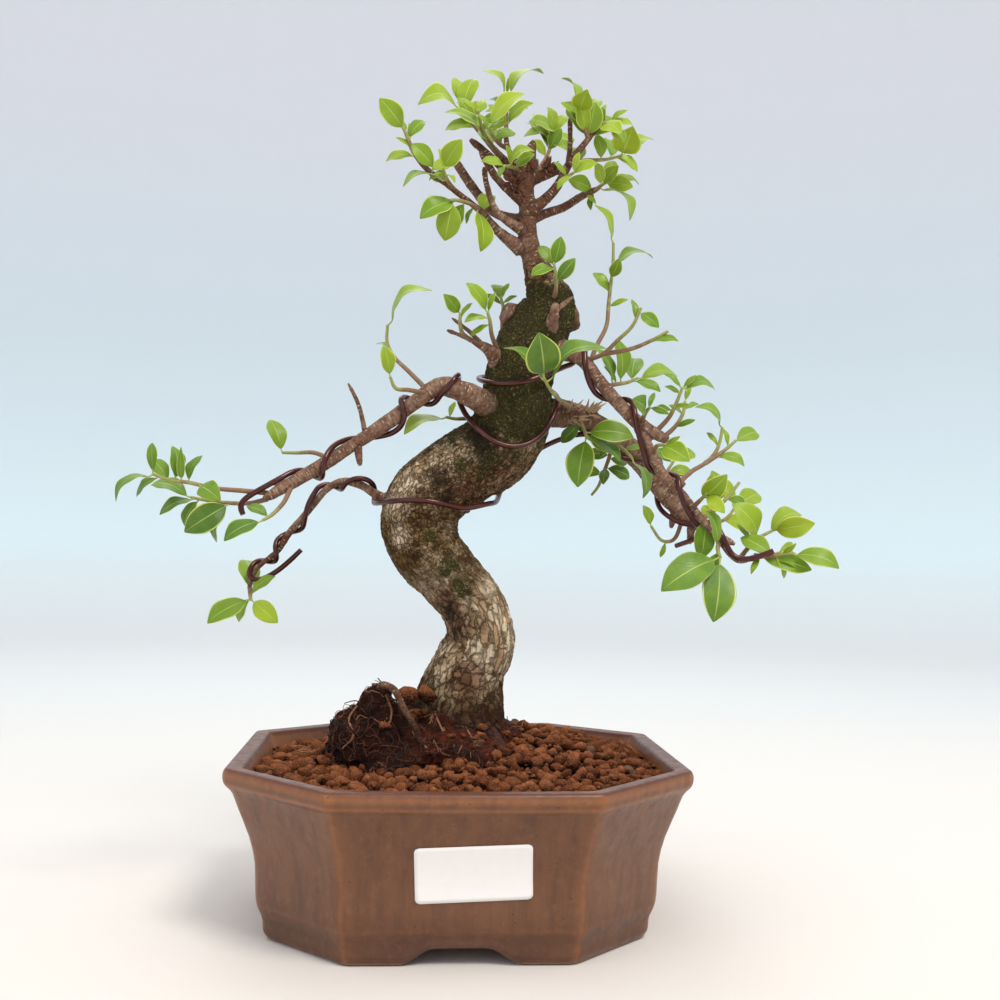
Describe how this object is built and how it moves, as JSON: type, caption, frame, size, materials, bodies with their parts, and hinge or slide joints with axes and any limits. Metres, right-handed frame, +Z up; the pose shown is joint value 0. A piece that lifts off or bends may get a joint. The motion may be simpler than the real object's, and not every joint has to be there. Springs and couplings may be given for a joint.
{
  "type": "kimmen ficus bonsai",
  "caption": "Ficus bonsai with a winding trunk, wired drooping branches, small glossy leaves and bared roots, in an octagonal brown glazed pot of clay granules",
  "frame": {"origin": "under the middle of the whole plant's box, on the surface that the pot's feet stand on", "axes": "+Z up the tree, -Y towards the side with the label, +X to the right seen from there; the pot's own axis stands at x = -3.76 mm"},
  "size_m": [0.275, 0.176, 0.3532],
  "materials": {
    "glaze": "semi-matte brown stoneware glaze, bronze where it thins on edges",
    "screen": "dark woven plastic mesh",
    "soil": "dull red-brown clay granules",
    "peat": "dark peat bound by fine roots",
    "bark": "flaky grey-tan bark, mossy and darker higher up",
    "leaf": "glossy green leaf on a thin brown twig",
    "wire": "brown anodised, glossy",
    "label": "blank white sticker"
  },
  "bodies": {
    "root": {"pot": "glaze", "drain_screen_left": "screen", "drain_screen_right": "screen", "soil": "soil", "root_ball": "peat", "trunk": "bark", "wire_upper": "wire", "wire_lower": "wire", "label": "label", "crown_left_end": "leaf", "crown_left_fork": "leaf", "crown_left_middle": "leaf", "crown_left_low": "leaf", "crown_back_left": "leaf", "crown_top_left": "leaf", "crown_top": "leaf", "crown_top_front": "leaf", "crown_knob_front": "leaf", "crown_back_right": "leaf", "crown_right_top": "leaf", "crown_right_end": "leaf", "crown_right_fan": "leaf", "crown_right_low": "leaf", "crown_right_front": "leaf", "upper_trunk_sprig": "leaf", "front_sprig": "leaf", "middle_left_outer": "leaf", "middle_left_front": "leaf", "middle_left_back": "leaf", "left_high_arch": "leaf", "left_high_small": "leaf", "left_high_under": "leaf", "left_high_outer": "leaf", "left_end_upper": "leaf", "left_end_lower": "leaf", "left_end_under": "leaf", "left_low_end": "leaf", "right_high_tall": "leaf", "right_high_upper": "leaf", "right_high_middle": "leaf", "right_fan_upper": "leaf", "right_fan_middle": "leaf", "right_crook": "leaf", "right_front_upper": "leaf", "right_forked_stem": "leaf", "right_inner_large": "leaf", "right_inner_dark": "leaf", "right_inner_arch": "leaf", "right_back_upper": "leaf", "right_back_long": "leaf", "right_end_back": "leaf", "right_front_fan": "leaf", "right_crossing": "leaf", "right_hanging": "leaf", "right_end_upper": "leaf", "right_end_tip": "leaf"}
  },
  "joints": []
}
